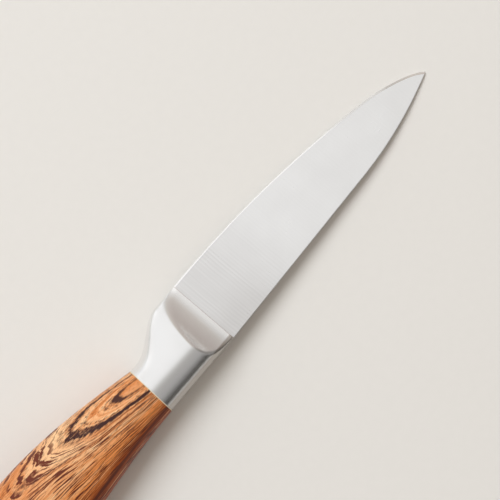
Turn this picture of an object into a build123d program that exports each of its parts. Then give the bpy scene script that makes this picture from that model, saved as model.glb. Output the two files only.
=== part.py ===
from build123d import *

import os
from math import acos, atan2, cos, hypot, pi, radians, sin, sqrt, tan

# Paring knife with a hidden tang, lying on its side.
# The knife's own axes start at the middle of the joint between wood and steel: x runs to the
# tip, y runs to the cutting edge, and z runs out of the side that faces up.

# Driving sizes, in millimetres and degrees.

# Blade
blade_length = 89.0  # from the bolster's front face to the tip
heel_depth = 13.8  # from the knife's axis to the cutting edge at the bolster
spine_height = 7.55  # from the knife's axis to the spine at the bolster
spine_thickness = 1.7
edge_thickness = 0.22  # behind the sharpened bevel, at the heel
tip_thickness = 0.72
bevel_angle = 16.0  # of the sharpened bevel, on each side at the heel

# Bolster
bolster_length = 25.6  # from the wood to the front face, spacer included
bolster_front_thickness = 11.4  # at the crown, where the scoop starts
bolster_crown = 0.8  # how far the crown moves towards the spine at the front
neck_place = 2.7  # where the belly starts to drop to the heel
heel_place = 17.5  # where the belly reaches the heel
scoop_radius = 10.2
lip_height = 0.5  # of the bolster's front lip, above the thickest blade
lip_round = 0.2  # on the lip's front edge

# Joint between the bolster and the wood
joint_height = 15.5
joint_thickness = 13.0
joint_slant = 2.4  # the joint leans towards the butt on the spine side
spacer_thickness = 0.25

# Handle
handle_length = 88.0
swell_place = 46.0  # from the joint to the widest belly and the thickest flank
swell_belly = 14.6  # from the knife's axis
swell_thickness = 18.0
back_place = 60.0  # from the joint to the widest back
swell_back = 12.0  # from the knife's axis
butt_belly = 11.6
butt_back = 11.0
butt_round = 9.0  # length of the domed butt
seam_thickness = 0.15  # of the glue line between the two halves

# Tang and its pins
tang_length = 62.0  # behind the joint
tang_height = 9.5  # through the bolster
tang_end_height = 6.0
tang_gap = 0.5  # glue round the tang in the wood
slot_clearance = 0.05
pin_radius = 1.25
pin_clearance = 0.05
pin_cover = 3.6  # wood outside each end of a pin
pin_chamfer = 0.25
front_pin_place = 16.0  # behind the joint
rear_pin_setback = 16.0  # ahead of the tang's end

# Length by which a cut passes the piece that it cuts
overrun = 2.0

# Shares, chosen by hand

# Cutting edge: place as a share of the blade's length, depth as a share of the heel's, and
# width of the bevel as a share of what its angle at the heel gives
edge_flat_share = 0.06
edge_shares = (
    (0.632, 0.728, 1.0),
    (0.815, 0.519, 0.85),
    (0.958, 0.198, 0.6),
    (1.0, 0.0, 0.5),
)
# Place and height where the spine leaves its straight run
spine_shares = (0.632, 0.768)
# Height of the blank that a blade half is cut from, as a share of the spine's thickness
blank_share = 0.6
# Curve handles of a section's quarter, as shares of its reach and its half thickness: a round
# quarter, and the blunt wedge between the bolster's crown and its heel
round_shares = ((0.414, 1.0), (0.776, 0.776), (1.0, 0.414))
wedge_shares = ((0.34, 1.0), (0.99, 0.41), (1.0, 0.41))
# Turns of the butt's dome, as shares of a quarter turn
dome_shares = (0.0, 0.25, 0.45, 0.62, 0.77, 0.9)

# Number of sections along the bolster, and along the handle before its dome
bolster_steps = 10
handle_steps = 12

# Sizes worked out from the driving ones

tip_place = bolster_length + blade_length
bevel_slope = tan(radians(bevel_angle))
lip_half = spine_thickness / 2 + lip_height
rim_height = lip_half + scoop_radius
# The tang is the same bar as the blade's spine
tang_thickness = spine_thickness
channel_half = tang_thickness / 2 + tang_gap
rear_pin_place = tang_length - rear_pin_setback
pin_places = (front_pin_place, rear_pin_place)
swell_half = swell_thickness / 2
joint_half = joint_thickness / 2
# The flank is one arc, from the joint over the swell to the butt
flank_rise = swell_half - joint_half
flank_radius = (swell_place**2 + flank_rise**2) / (2 * flank_rise)

# The knife rests on the flank of its handle and on the tip of its blade, which leans it
lean_reach = swell_place + tip_place
lean_rise = flank_radius - swell_half + tip_thickness / 2
lean = atan2(lean_reach, lean_rise) - acos(flank_radius / hypot(lean_reach, lean_rise))
axis_height = flank_radius - swell_place * sin(lean) - (flank_radius - swell_half) * cos(lean)

# The knife's middle plane as it lies on the table, with the origin under the knife's middle
knife = Plane(
    origin=(
        (handle_length - tip_place) / 2 * cos(lean),
        (swell_back - swell_belly) / 2,
        axis_height,
    ),
    x_dir=(cos(lean), 0, -sin(lean)),
    z_dir=(sin(lean), 0, cos(lean)),
)


def at(x, y, z):
    """The point of the row that has these knife coordinates."""
    return knife.from_local_coords(Vector(x, y, z))


def station(x, slant=0):
    """The cross plane at x, with its first axis to the cutting edge, which slant turns to the tip."""
    turn = radians(slant)
    across = knife.y_dir * cos(turn) + knife.x_dir * sin(turn)
    return Plane(origin=at(x, 0, 0), x_dir=across, z_dir=across.cross(knife.z_dir))


def level(z):
    """The plane along the knife at height z over its middle plane."""
    return knife.offset(z)


# The edge view, with its first axis to the tip and its second out of the upper side
edge_view = Plane(origin=knife.origin, x_dir=knife.x_dir, z_dir=-knife.y_dir)


def ease(share):
    """A smooth step from 0 to 1."""
    share = min(max(share, 0), 1)
    return share * share * (3 - 2 * share)


def blend(start, end, share):
    """The value at this share of the way from start to end."""
    return start + (end - start) * share


def egg(plane, back, belly, half, crown, wedge):
    """An egg-shaped section on the plane: an oval whose belly is drawn to a wedge as wedge nears 1."""
    with BuildSketch(plane) as section:
        with BuildLine():
            for side in (half, -half):
                rise = [
                    (blend(crown, -back, along), side * up) for along, up in round_shares
                ]
                fall = [
                    (blend(crown, belly, blend(along, drawn, wedge)), side * blend(up, low, wedge))
                    for (along, up), (drawn, low) in zip(round_shares, wedge_shares)
                ]
                Bezier((crown, side), *rise, (-back, 0))
                Bezier((crown, side), *fall, (belly, 0))
        make_face()
    return section.sketch


# Bolster outline

def bolster_section(x):
    """The bolster's section at x, from the round joint to the wedge above the heel."""
    share = max((x - spacer_thickness) / (bolster_length - spacer_thickness), 0)
    drop = ease((x - neck_place) / (heel_place - neck_place))
    return egg(
        station(x, joint_slant * (1 - share)),
        back=blend(joint_height / 2, spine_height, share),
        belly=blend(joint_height / 2, heel_depth, drop),
        half=blend(joint_half, bolster_front_thickness / 2, share),
        crown=-bolster_crown * share,
        wedge=drop,
    )


# Handle outline, with x counted from the joint towards the butt

def handle_half(x):
    """Half the handle's thickness: the flank's arc."""
    return swell_half - flank_radius + sqrt(flank_radius**2 - (x - swell_place) ** 2)


def handle_belly(x):
    """The belly, from the knife's axis: a quarter wave up to the swell, and one down to the butt."""
    if x < swell_place:
        return blend(joint_height / 2, swell_belly, sin(pi / 2 * x / swell_place))
    fall = (x - swell_place) / (handle_length - swell_place)
    return blend(butt_belly, swell_belly, cos(pi / 2 * fall))


def handle_back(x):
    """The back, from the knife's axis: a smooth step out, then a quarter wave to the butt."""
    if x < back_place:
        return blend(joint_height / 2, swell_back, ease(x / back_place))
    fall = (x - back_place) / (handle_length - back_place)
    return blend(butt_back, swell_back, cos(pi / 2 * fall))


def handle_section(x, shrink):
    """The handle's oval at x, shrunk about its own middle."""
    middle = (handle_belly(x) - handle_back(x)) / 2
    reach = (handle_belly(x) + handle_back(x)) / 2 * shrink
    return egg(
        station(-x, joint_slant * (1 - x / handle_length)),
        back=reach - middle,
        belly=reach + middle,
        half=handle_half(x) * shrink,
        crown=middle,
        wedge=0,
    )


# Tang outline

def tang_outline(front, gap):
    """The tang in the middle plane, from front to its rounded end, larger by gap all round."""
    half = tang_height / 2 + gap
    end_half = tang_end_height / 2 + gap
    turn = -tang_length + tang_end_height / 2
    with BuildSketch(knife) as outline:
        with BuildLine():
            Polyline((turn, end_half), (0, half), (front, half))
            Line((front, half), (front, -half))
            Polyline((front, -half), (0, -half), (turn, -end_half))
            ThreePointArc((turn, -end_half), (turn - end_half, 0), (turn, end_half))
        make_face()
    return outline.sketch


def cut_slot():
    """Cuts the tang's slot through the piece in work, from its front to its back."""
    with BuildSketch(station(-overrun)) as slot:
        Rectangle(tang_height + 2 * slot_clearance, tang_thickness + 2 * slot_clearance)
    extrude(slot.sketch, amount=bolster_length + 2 * overrun, mode=Mode.SUBTRACT)


def pin_half(place):
    """Half the length of the pin at this place behind the joint."""
    return handle_half(place) - pin_cover


def pin_disc(place, radius):
    """A round of this radius in the middle plane, where the pin at this place goes."""
    with BuildSketch(knife) as disc:
        with Locations((-place, 0)):
            Circle(radius)
    return disc.sketch


def cut_pin_bores():
    """Cuts both pins' bores through the tang or glue, and blind into the wood."""
    for place in pin_places:
        disc = pin_disc(place, pin_radius + pin_clearance)
        reach = pin_half(place) + pin_clearance
        extrude(disc, amount=reach, both=True, mode=Mode.SUBTRACT)


# Blade with its tang

def blade_side(height):
    """The blade's side view at this height, where the sharpened bevel has moved the edge in."""
    inset = height / bevel_slope
    heel = heel_depth - inset
    flat_end = bolster_length + edge_flat_share * blade_length
    spine_turn = (
        bolster_length + spine_shares[0] * blade_length,
        -spine_shares[1] * spine_height,
    )
    with BuildLine(mode=Mode.PRIVATE):
        spine = Line((bolster_length, -spine_height), spine_turn)
        spine_arc = TangentArc(spine_turn, (tip_place, 0), tangent=spine % 1)
        edge = Line((bolster_length, heel_depth), (flat_end, heel_depth))
        ends = [(flat_end, heel)]
        for along, down, width in edge_shares:
            end = (bolster_length + along * blade_length, down * heel_depth)
            edge = TangentArc(edge @ 1, end, tangent=edge % 1)
            ends.append(edge @ 1 + (edge % 1).rotate(Axis.Z, -90) * inset * width)
    # The point of the blade slides back along the spine as the edge moves in
    point_angle = (spine_arc % 1).get_angle(edge % 1)
    slide = inset * width / sin(radians(point_angle)) / spine_arc.length
    ends[-1] = spine_arc @ (1 - slide)
    with BuildSketch(level(height)) as side:
        with BuildLine():
            Line((bolster_length, -spine_height), (bolster_length, heel))
            edge = Line((bolster_length, heel), ends[0])
            for end in ends[1:]:
                edge = TangentArc(edge @ 1, end, tangent=edge % 1)
            TangentArc(spine_turn, ends[-1], tangent=spine % 1)
            Line(spine_turn, (bolster_length, -spine_height))
        make_face()
    return side.sketch


# The flat grind runs from the spine to the edge and thins towards the tip
grind_heel = at(bolster_length, heel_depth, edge_thickness / 2)
grind_spine = at(bolster_length, -spine_height, spine_thickness / 2)
grind_tip = at(tip_place, 0, tip_thickness / 2)
grind_face = Plane(
    origin=grind_heel,
    x_dir=grind_tip - grind_heel,
    z_dir=(grind_tip - grind_heel).cross(grind_heel - grind_spine),
)

with BuildPart() as blade:
    loft([blade_side(0), blade_side(blank_share * spine_thickness)], ruled=True)
    split(bisect_by=grind_face, keep=Keep.BOTTOM)
    mirror(about=knife)
    extrude(tang_outline(bolster_length, 0), amount=tang_thickness / 2, both=True)
    cut_pin_bores()
blade.part.label = "blade"

# Bolster: lofted from the joint to the heel, scooped on both sides, slotted for the tang

with BuildPart() as scoop:
    lip_place = bolster_length - lip_round
    outside = bolster_length + overrun
    with BuildSketch(edge_view):
        with BuildLine():
            rim = CenterArc((lip_place, rim_height), scoop_radius, 180, arc_size=90)
            lip = CenterArc((lip_place, lip_half - lip_round), lip_round, 90, arc_size=-90)
            Polyline(lip @ 1, (outside, lip_half - lip_round), (outside, rim_height), rim @ 0)
        make_face()
    extrude(amount=heel_depth + overrun, both=True)
    mirror(about=knife)

with BuildPart() as bolster:
    places = [
        blend(spacer_thickness, bolster_length, step / bolster_steps)
        for step in range(bolster_steps + 1)
    ]
    loft([bolster_section(x) for x in places])
    add(scoop.part, mode=Mode.SUBTRACT)
    cut_slot()
bolster.part.label = "bolster"

# Spacer between the bolster and the wood

with BuildPart() as joint_spacer:
    extrude(bolster_section(0), amount=spacer_thickness, dir=knife.x_dir)
    cut_slot()
joint_spacer.part.label = "joint_spacer"

# Handle: the whole shape once, then its two halves with the tang's channel between them

with BuildPart() as handle_shape:
    dome_start = handle_length - butt_round
    stations = [(dome_start * step / handle_steps, 1) for step in range(handle_steps)]
    for turn in dome_shares:
        angle = pi / 2 * turn
        stations.append((dome_start + butt_round * sin(angle), cos(angle)))
    loft([handle_section(x, shrink) for x, shrink in stations])


def handle_piece(keep, side):
    """One half of the handle, with its side of the channel and of the pins' blind bores."""
    with BuildPart() as half:
        add(handle_shape.part)
        split(bisect_by=level(side * seam_thickness / 2), keep=keep)
        extrude(tang_outline(overrun, tang_gap), amount=channel_half, both=True, mode=Mode.SUBTRACT)
        cut_pin_bores()
    return half


handle_left = handle_piece(Keep.TOP, 1)
handle_left.part.label = "handle_left"

handle_right = handle_piece(Keep.BOTTOM, -1)
handle_right.part.label = "handle_right"

# Glue: the line between the halves, and the fill of the channel round the tang

with BuildPart() as glue_space:
    with BuildSketch(knife):
        with Locations((-handle_length / 2, 0)):
            Rectangle(handle_length + 2 * overrun, 2 * (swell_belly + swell_back))
    extrude(amount=seam_thickness / 2, both=True)
    extrude(tang_outline(overrun, tang_gap), amount=channel_half, both=True)

with BuildPart() as handle_glue:
    add(handle_shape.part)
    add(glue_space.part, mode=Mode.INTERSECT)
    add(blade.part, mode=Mode.SUBTRACT)
    cut_pin_bores()
handle_glue.part.label = "handle_glue"


# Tang pins

def tang_pin(place):
    """The cross pin at this place behind the joint, with chamfered ends."""
    with BuildPart() as pin:
        extrude(pin_disc(place, pin_radius), amount=pin_half(place), both=True)
        chamfer(pin.edges().filter_by(GeomType.CIRCLE), length=pin_chamfer)
    return pin


front_tang_pin = tang_pin(front_pin_place)
front_tang_pin.part.label = "front_tang_pin"

rear_tang_pin = tang_pin(rear_pin_place)
rear_tang_pin.part.label = "rear_tang_pin"

pieces = (
    blade,
    bolster,
    joint_spacer,
    handle_left,
    handle_right,
    handle_glue,
    front_tang_pin,
    rear_tang_pin,
)

os.makedirs("parts", exist_ok=True)
for piece in pieces:
    export_step(piece.part, f"parts/{piece.part.label}.step")
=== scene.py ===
"""A paring knife lying on a pale table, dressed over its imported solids.

The knife's sizes are in millimetres in its own axes: x runs from the joint between wood and
steel to the tip, v runs across to the cutting edge, and z runs out of the side that faces up.
The table and the lamps are in metres.
"""

import logging
from collections.abc import Callable, Sequence
from dataclasses import dataclass
from enum import Enum
from math import acos, atan2, cos, hypot, pi, radians, sin, tan

import bmesh
import bpy
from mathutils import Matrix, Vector

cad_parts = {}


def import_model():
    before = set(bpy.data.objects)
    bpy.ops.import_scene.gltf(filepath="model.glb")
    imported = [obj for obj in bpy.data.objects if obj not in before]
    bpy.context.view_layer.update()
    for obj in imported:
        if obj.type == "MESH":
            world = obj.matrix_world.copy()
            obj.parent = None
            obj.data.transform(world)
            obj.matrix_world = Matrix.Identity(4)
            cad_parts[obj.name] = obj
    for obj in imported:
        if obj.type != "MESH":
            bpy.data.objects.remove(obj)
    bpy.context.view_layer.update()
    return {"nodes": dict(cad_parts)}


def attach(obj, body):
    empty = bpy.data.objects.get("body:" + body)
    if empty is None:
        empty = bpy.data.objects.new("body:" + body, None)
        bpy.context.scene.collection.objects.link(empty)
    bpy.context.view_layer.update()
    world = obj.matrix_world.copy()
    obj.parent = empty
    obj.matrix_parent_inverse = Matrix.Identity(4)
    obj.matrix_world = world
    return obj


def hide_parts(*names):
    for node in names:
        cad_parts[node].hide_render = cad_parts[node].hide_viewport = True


MM = 0.001
log = logging.getLogger("paring knife")

Colour = tuple[float, float, float]
Flat = tuple[float, float]
Stops = tuple[tuple[float, Colour], ...]

# Lengths in metres below which points are one point or an edge has no length.
SAME_POINT = 1e-7
NO_LENGTH = 1e-8
# The same for the points of a shape tree, in millimetres.
SAME_ROW = 0.0005
# How far past a place a point lies beyond it, in millimetres.
JUST_PAST = 0.0001
# The turn in radians below which an arc is a straight line.
STRAIGHT = 1e-6
# The width in millimetres that stands in for none where something is divided by it.
NO_WIDTH = 1e-6
PIN_CORNERS = 32
TANG_END_CORNERS = 16
# Where a noise lies for the most part.
NOISE_RANGE: Flat = (0.35, 0.65)


class Side(Enum):
    """The side of the knife's middle plane that a piece lies on."""

    UPPER = 1
    LOWER = -1


# Sizes


@dataclass(frozen=True)
class KnifeSizes:
    """The sizes that more than one piece follows, in millimetres."""

    blade_length: float = 89.0
    heel_depth: float = 13.8
    spine_height: float = 7.55
    spine_thickness: float = 1.7
    tip_thickness: float = 0.72
    bolster_length: float = 25.6
    joint_height: float = 15.5
    joint_thickness: float = 13.0
    joint_slant: float = 2.4
    spacer_thickness: float = 0.25
    handle_length: float = 88.0
    swell_place: float = 46.0
    swell_belly: float = 14.6
    swell_back: float = 12.0
    swell_thickness: float = 18.0
    back_place: float = 60.0
    tang_length: float = 62.0
    tang_height: float = 9.5
    tang_end_height: float = 6.0
    tang_gap: float = 0.5
    slot_clearance: float = 0.05
    pin_radius: float = 1.3
    pin_cover: float = 3.55
    pin_places: Flat = (16.0, 46.0)

    @property
    def tip_place(self) -> float:
        """The tip's distance from the joint."""
        return self.bolster_length + self.blade_length

    @property
    def flank_radius(self) -> float:
        """The radius of the arc that the handle's flank follows."""
        rise = (self.swell_thickness - self.joint_thickness) / 2
        return (self.swell_place**2 + rise**2) / (2 * rise)

    def handle_half(self, x: float) -> float:
        """Half the handle's thickness at x behind the joint."""
        drop = self.flank_radius - (self.flank_radius**2 - (x - self.swell_place) ** 2) ** 0.5
        return self.swell_thickness / 2 - drop


@dataclass(frozen=True)
class Rest:
    """How the knife lies on the table, on the flank of its handle and the tip of its blade."""

    lean: float
    x: float
    y: float
    z: float

    @classmethod
    def of(cls, sizes: KnifeSizes) -> "Rest":
        """Works out the rest from the sizes.

        Args:
            sizes: The knife's sizes.

        Returns:
            The lean in radians and the place of the knife's own axes in millimetres.
        """
        half = sizes.swell_thickness / 2
        reach = sizes.swell_place + sizes.tip_place
        rise = sizes.flank_radius - half + sizes.tip_thickness / 2
        lean = atan2(reach, rise) - acos(sizes.flank_radius / hypot(reach, rise))
        return cls(
            lean=lean,
            x=(sizes.handle_length - sizes.tip_place) / 2 * cos(lean),
            y=(sizes.swell_back - sizes.swell_belly) / 2,
            z=sizes.flank_radius
            - sizes.swell_place * sin(lean)
            - (sizes.flank_radius - half) * cos(lean),
        )

    def place(self, x: float, v: float, z: float) -> Vector:
        """The point of the table's axes, in metres, that has these knife coordinates."""
        return MM * Vector(
            (
                self.x + x * cos(self.lean) + z * sin(self.lean),
                self.y + v,
                self.z - x * sin(self.lean) + z * cos(self.lean),
            )
        )


# Arithmetic in node trees


def sign(operation: str, swapped: bool = False) -> Callable[["Field", "Field | float"], "Field"]:
    """Makes the method behind one of the signs of arithmetic.

    Args:
        operation: The operation of the Math node.
        swapped: Whether the field is the second of the two values.

    Returns:
        The method.
    """

    def method(field: "Field", other: "Field | float") -> "Field":
        """The operation's result for the two values."""
        values = (other, field) if swapped else (field, other)
        return calc(field.tree, operation, *values)

    return method


@dataclass(frozen=True)
class Field:
    """A number that a node tree works out at every point, with the usual signs of arithmetic."""

    tree: bpy.types.NodeTree
    socket: bpy.types.NodeSocket

    __add__ = sign("ADD")
    __radd__ = sign("ADD", swapped=True)
    __sub__ = sign("SUBTRACT")
    __rsub__ = sign("SUBTRACT", swapped=True)
    __mul__ = sign("MULTIPLY")
    __rmul__ = sign("MULTIPLY", swapped=True)
    __truediv__ = sign("DIVIDE")
    __rtruediv__ = sign("DIVIDE", swapped=True)
    __pow__ = sign("POWER")
    __lt__ = sign("LESS_THAN")
    __gt__ = sign("GREATER_THAN")

    def __abs__(self) -> "Field":
        """This without its sign."""
        return calc(self.tree, "ABSOLUTE", self)


def feed(
    tree: bpy.types.NodeTree,
    socket: bpy.types.NodeSocket,
    value: "Field | bpy.types.NodeSocket | Colour | float",
) -> None:
    """Gives a node's input its value.

    Args:
        tree: The node's tree.
        socket: The input.
        value: A field or a socket to link to it, or a colour or a number to set there.
    """
    if isinstance(value, Field):
        value = value.socket
    if isinstance(value, bpy.types.NodeSocket):
        tree.links.new(value, socket)
    else:
        socket.default_value = (*value, 1.0) if isinstance(value, tuple) else value


def calc(tree: bpy.types.NodeTree, operation: str, *values: "Field | float") -> Field:
    """Adds a Math node.

    Args:
        tree: The tree that gets the node.
        operation: The node's operation.
        values: Its inputs in order, each a field or a plain number.

    Returns:
        The node's result.
    """
    node = tree.nodes.new("ShaderNodeMath")
    node.operation = operation
    for socket, value in zip(node.inputs, values):
        feed(tree, socket, value)
    return Field(tree, node.outputs[0])


def split(tree: bpy.types.NodeTree, vector: bpy.types.NodeSocket) -> tuple[Field, Field, Field]:
    """Takes a vector apart.

    Args:
        tree: The tree that gets the node.
        vector: The vector.

    Returns:
        Its three parts.
    """
    node = tree.nodes.new("ShaderNodeSeparateXYZ")
    tree.links.new(vector, node.inputs[0])
    return tuple(Field(tree, output) for output in node.outputs)


def join(tree: bpy.types.NodeTree, *parts: "Field | float") -> bpy.types.NodeSocket:
    """Makes a vector.

    Args:
        tree: The tree that gets the node.
        parts: The vector's three parts.

    Returns:
        The vector.
    """
    node = tree.nodes.new("ShaderNodeCombineXYZ")
    for socket, part in zip(node.inputs, parts):
        feed(tree, socket, part)
    return node.outputs[0]


def least(field: Field, other: "Field | float") -> Field:
    """The lesser of the two."""
    return calc(field.tree, "MINIMUM", field, other)


def most(field: Field, other: "Field | float") -> Field:
    """The greater of the two."""
    return calc(field.tree, "MAXIMUM", field, other)


def share_of(field: Field, start: float, end: float) -> Field:
    """How far the field is from start to end, kept between 0 and 1."""
    return least(most((field - start) * (1 / (end - start)), 0.0), 1.0)


def ease(share: Field) -> Field:
    """A smooth step, for a share between 0 and 1."""
    return share * share * (3.0 - 2.0 * share)


def blend(start: "Field | float", end: "Field | float", share: Field) -> Field:
    """The value at this share of the way from start to end."""
    return (1.0 - share) * start + share * end


def band(field: Field, middle: "Field | float", half: "Field | float") -> Field:
    """1 at the middle, falling smoothly to 0 at half on each side of it."""
    return ease(most(1.0 - abs(field - middle) / half, 0.0))


def quarter(turn: Field, corners: Sequence["Field | float"]) -> Field:
    """One coordinate of a curve of the fourth degree.

    Args:
        turn: The place along the curve, from 0 to 1.
        corners: The curve's five corner values.

    Returns:
        The coordinate there.
    """
    rest = 1.0 - turn
    total = rest**4 * corners[0] + turn**4 * corners[4]
    total = total + rest**3 * turn * 4.0 * corners[1]
    total = total + rest * rest * turn * turn * 6.0 * corners[2]
    return total + rest * turn**3 * 4.0 * corners[3]


# The corner values along and up a quarter of an ellipse, and of one drawn to a blunt wedge.
ROUND = ((0.0, 0.414, 0.776, 1.0, 1.0), (1.0, 1.0, 0.776, 0.414, 0.0))
WEDGE = ((0.0, 0.34, 0.99, 1.0, 1.0), (1.0, 1.0, 0.41, 0.41, 0.0))


def egg(
    around: Field,
    back: Field,
    belly: Field,
    half: Field,
    crown: "Field | float",
    wedge: "Field | float" = 0.0,
) -> tuple[Field, Field]:
    """The upper line of an egg-shaped section.

    Args:
        around: The place on the line, from 0 at the belly over the crown to 1 at the back.
        back: How far the section reaches to the back.
        belly: How far it reaches to the belly.
        half: Its height at the crown.
        crown: Where the crown lies.
        wedge: How far the belly's side is drawn to a blunt wedge, from 0 to 1.

    Returns:
        The point's place across and its height.
    """
    turn = abs(1.0 - 2.0 * around)
    to_belly = around < 0.5
    drawn = to_belly * wedge
    along, rise = (
        quarter(turn, [a if a == b else blend(a, b, drawn) for a, b in zip(rounded, wedged)])
        for rounded, wedged in zip(ROUND, WEDGE)
    )
    reach = to_belly * (belly - crown) - (1.0 - to_belly) * (back + crown)
    return crown + along * reach, rise * half


# Building meshes


class ShapeTree:
    """A geometry node tree that bends a grid of rows and columns into one closed shape."""

    def __init__(
        self, name: str, rest: Rest, rows: int, columns: int, sizes: dict[str, float]
    ) -> None:
        """Starts the tree with its grid.

        Args:
            name: The tree's name.
            rest: How the knife lies, which the tree takes as inputs too.
            rows: The number of cross sections, end caps included.
            columns: The number of points round a section.
            sizes: The named sizes that the tree takes as inputs.
        """
        laid = {"Lean": rest.lean, "Rest X": rest.x, "Rest Y": rest.y, "Rest Z": rest.z}
        self.sizes = {**sizes, **laid}
        self.rows = rows
        self.tree = bpy.data.node_groups.new(name, "GeometryNodeTree")
        face = self.tree.interface
        face.new_socket(name="Shape", in_out="OUTPUT", socket_type="NodeSocketGeometry")
        face.new_socket(name="Finish", in_out="INPUT", socket_type="NodeSocketMaterial")
        for label in self.sizes:
            face.new_socket(name=label, in_out="INPUT", socket_type="NodeSocketFloat")
        self.enter = self.tree.nodes.new("NodeGroupInput")
        self.grid = self.tree.nodes.new("GeometryNodeMeshGrid")
        spans = {"Size X": 1.0, "Size Y": 1.0, "Vertices X": rows, "Vertices Y": columns}
        for label, value in spans.items():
            self.grid.inputs[label].default_value = value
        place = self.tree.nodes.new("GeometryNodeInputPosition")
        over_rows, over_columns, _ = split(self.tree, place.outputs[0])
        self.row = (over_rows + 0.5) * (rows - 1.0)
        self.column = over_columns + 0.5

    def size(self, label: str) -> Field:
        """The named size, as a field."""
        return Field(self.tree, self.enter.outputs[label])

    def body_share(self) -> Field:
        """The row's share of the way between the two end caps."""
        return share_of(self.row, 1.0, self.rows - 2.0)

    def on_cap(self) -> Field:
        """1 on the rows that close the ends, else 0."""
        return (self.row < 0.5) + (self.row > self.rows - 1.5)

    def finish(self, x: Field, across: Field, height: Field, slant: Field) -> None:
        """Bends the grid, closes it, lays the shape on the table and gives it its finish.

        Args:
            x: Each point's place along the knife.
            across: Its place across, in its own section.
            height: Its height over the middle plane.
            slant: The turn of its section, which moves the belly to the tip.
        """
        tree = self.tree
        bent = x + across * calc(tree, "SINE", slant)
        point = join(tree, bent, across * calc(tree, "COSINE", slant), height)
        chain = [self.grid]
        kinds = ("SetPosition", "MergeByDistance", "Transform", "RealizeInstances", "SetMaterial")
        for kind in kinds:
            node = tree.nodes.new(f"GeometryNode{kind}")
            tree.links.new(chain[-1].outputs[0], node.inputs["Geometry"])
            chain.append(node)
        _, moved, merged, laid, _, dressed = chain
        merged.inputs["Distance"].default_value = SAME_ROW
        laid.inputs["Scale"].default_value = (MM, MM, MM)
        shift = join(tree, *(self.size(f"Rest {axis}") * MM for axis in "XYZ"))
        for start, end in (
            (point, moved.inputs["Position"]),
            (join(tree, 0.0, self.size("Lean"), 0.0), laid.inputs["Rotation"]),
            (shift, laid.inputs["Translation"]),
            (self.enter.outputs["Finish"], dressed.inputs["Material"]),
            (dressed.outputs[0], tree.nodes.new("NodeGroupOutput").inputs[0]),
        ):
            tree.links.new(start, end)

    def make(self, name: str, finish: bpy.types.Material, **changes: float) -> bpy.types.Object:
        """Runs the tree once and keeps the result as a plain mesh.

        Args:
            name: The new piece's name.
            finish: Its material.
            changes: Sizes that differ from the tree's own, with underscores for spaces.

        Returns:
            The piece, with faces that point outwards.
        """
        piece = new_piece(name, bpy.data.meshes.new(name))
        modifier = piece.modifiers.new("shape", "NODES")
        modifier.node_group = self.tree
        changed = {label.replace("_", " "): value for label, value in changes.items()}
        values = {**self.sizes, **changed, "Finish": finish}
        for item in self.tree.interface.items_tree:
            if item.in_out == "INPUT":
                modifier[item.identifier] = values[item.name]
        apply_modifiers(piece)
        tidy(piece, finish)
        return piece


def new_piece(name: str, data: bpy.types.ID) -> bpy.types.Object:
    """Puts a mesh, a lamp or a camera in the scene.

    Args:
        name: The object's name.
        data: What the object shows.

    Returns:
        The object.
    """
    piece = bpy.data.objects.new(name, data)
    bpy.context.scene.collection.objects.link(piece)
    return piece


def apply_modifiers(piece: bpy.types.Object) -> None:
    """Makes what the piece's modifiers give its own plain mesh, and removes them.

    Args:
        piece: The piece.
    """
    graph = bpy.context.evaluated_depsgraph_get()
    graph.update()
    mesh = bpy.data.meshes.new_from_object(piece.evaluated_get(graph))
    piece.modifiers.clear()
    piece.data = mesh
    mesh.name = piece.name


def tidy(piece: bpy.types.Object, finish: bpy.types.Material, sharp: float = 32.0) -> None:
    """Turns the faces outwards, shades them smoothly and gives them their finish.

    Args:
        piece: The piece, whose mesh is closed.
        finish: Its one material.
        sharp: The angle in degrees from which an edge stays crisp.
    """
    shell = bmesh.new()
    shell.from_mesh(piece.data)
    bmesh.ops.dissolve_degenerate(shell, dist=NO_LENGTH, edges=shell.edges)
    bmesh.ops.recalc_face_normals(shell, faces=shell.faces)
    shell.to_mesh(piece.data)
    shell.free()
    piece.data.materials.clear()
    piece.data.materials.append(finish)
    piece.data.shade_smooth()
    piece.data.set_sharp_from_angle(angle=radians(sharp))


def closed_mesh(name: str, rows: Sequence[Sequence[Vector]]) -> bpy.types.Object:
    """Makes a piece that runs through rows of points and is closed at both ends.

    Args:
        name: The piece's name.
        rows: Its rows of points in metres, all of one length. Points in one place become one.

    Returns:
        The piece.
    """
    size = len(rows[0])
    last = size * (len(rows) - 1)
    faces = [list(range(size)), list(range(last, last + size))]
    for start in range(0, last, size):
        for place in range(start, start + size):
            corner = start + (place + 1 - start) % size
            faces.append([place, corner, corner + size, place + size])
    mesh = bpy.data.meshes.new(name)
    mesh.from_pydata([tuple(point) for row in rows for point in row], [], faces)
    shell = bmesh.new()
    shell.from_mesh(mesh)
    bmesh.ops.remove_doubles(shell, verts=shell.verts, dist=SAME_POINT)
    bmesh.ops.recalc_face_normals(shell, faces=shell.faces)
    shell.to_mesh(mesh)
    shell.free()
    return new_piece(name, mesh)


def prism(rest: Rest, outline: Sequence[Flat], half: float) -> bpy.types.Object:
    """A plate with this outline, half its thickness on each side of the middle plane."""
    return closed_mesh("plate", [[rest.place(x, v, z) for x, v in outline] for z in (-half, half)])


def combine(piece: bpy.types.Object, tool: bpy.types.Object, operation: str) -> None:
    """Joins the tool to the piece, or cuts it out, and drops the tool.

    Args:
        piece: The piece in work.
        tool: The shape that is joined or cut out.
        operation: UNION or DIFFERENCE.
    """
    modifier = piece.modifiers.new("work", "BOOLEAN")
    modifier.operation = operation
    modifier.solver = "EXACT"
    modifier.object = tool
    apply_modifiers(piece)
    bpy.data.objects.remove(tool)


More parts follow.
